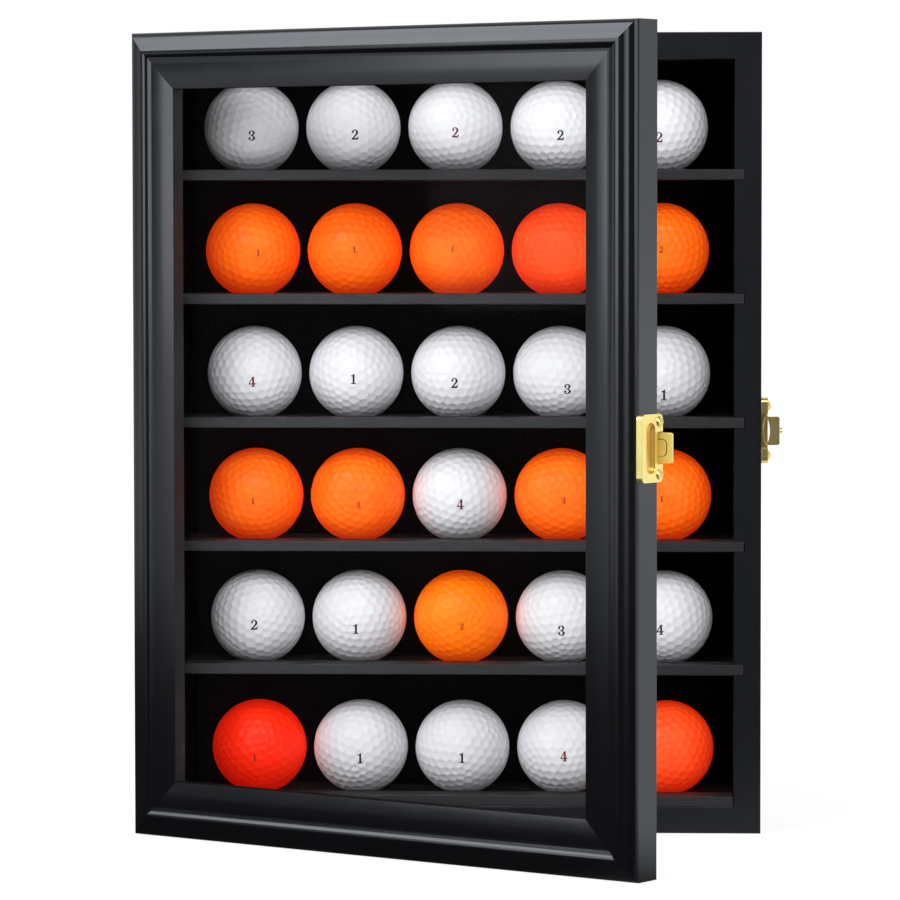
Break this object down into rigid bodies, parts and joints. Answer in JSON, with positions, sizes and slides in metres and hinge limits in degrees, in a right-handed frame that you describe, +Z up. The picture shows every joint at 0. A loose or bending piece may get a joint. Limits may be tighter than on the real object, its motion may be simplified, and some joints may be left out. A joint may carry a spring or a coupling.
{
  "type": "golf_ball_display_case",
  "caption": "Wall or shelf display case for golf balls: a framed clear door on side hinges, grooved shelves with dished ball seats and a snap catch.",
  "frame": {"origin": "middle of the case's bottom face", "axes": "+Z up, the case's front faces -Y, X = 0 is the middle of the case, +X towards the catch"},
  "size_m": [0.2891, 0.2213, 0.3584],
  "materials": {
    "case_black": "satin",
    "door_black": "satin",
    "shelf_black": "matte",
    "back_board": "matte",
    "black_felt": "matte",
    "clear_acrylic": "gloss",
    "brass": "polished",
    "zinc_steel": "brushed",
    "ball_white": "gloss",
    "ball_orange": "gloss",
    "ball_bright_orange": "gloss",
    "ball_red_orange": "gloss",
    "ball_red": "gloss"
  },
  "bodies": {
    "case": {"side_left": "case_black", "side_right": "case_black", "top_board": "case_black", "bottom_board": "case_black", "back_panel": "back_board", "back_lining": "black_felt", "shelf_1": "shelf_black", "shelf_2": "shelf_black", "shelf_3": "shelf_black", "shelf_4": "shelf_black", "shelf_5": "shelf_black", "base_shelf": "shelf_black", "ball_r1_c1": "ball_white", "ball_r1_c2": "ball_white", "ball_r1_c3": "ball_white", "ball_r1_c4": "ball_white", "ball_r1_c5": "ball_white", "ball_r2_c1": "ball_orange", "ball_r2_c2": "ball_orange", "ball_r2_c3": "ball_orange", "ball_r2_c4": "ball_red_orange", "ball_r2_c5": "ball_orange", "ball_r3_c1": "ball_white", "ball_r3_c2": "ball_white", "ball_r3_c3": "ball_white", "ball_r3_c4": "ball_white", "ball_r3_c5": "ball_white", "ball_r4_c1": "ball_orange", "ball_r4_c2": "ball_orange", "ball_r4_c3": "ball_white", "ball_r4_c4": "ball_orange", "ball_r4_c5": "ball_orange", "ball_r5_c1": "ball_white", "ball_r5_c2": "ball_white", "ball_r5_c3": "ball_bright_orange", "ball_r5_c4": "ball_white", "ball_r5_c5": "ball_white", "ball_r6_c1": "ball_red", "ball_r6_c2": "ball_white", "ball_r6_c3": "ball_white", "ball_r6_c4": "ball_white", "ball_r6_c5": "ball_red_orange", "upper_hinge_case_leaf": "brass", "lower_hinge_case_leaf": "brass", "hinge_pins": "brass", "latch_case_plate": "brass", "latch_keeper": "brass", "case_screws": "brass", "wall_hangers": "zinc_steel"},
    "door": {"door_hinge_stile": "door_black", "door_latch_stile": "door_black", "door_top_rail": "door_black", "door_bottom_rail": "door_black", "door_pane": "clear_acrylic", "pane_beads": "case_black", "upper_hinge_door_leaf": "brass", "lower_hinge_door_leaf": "brass", "latch_door_plate": "brass", "latch_tongue": "brass", "door_screws": "brass"}
  },
  "joints": [
    {"name": "door_hinge", "type": "hinge", "parent": "case", "child": "door", "pos_m": [-0.1383, -0.0278, 0], "axis": [0, 0, -1], "range_deg": [-33.5, 146.5]}
  ]
}
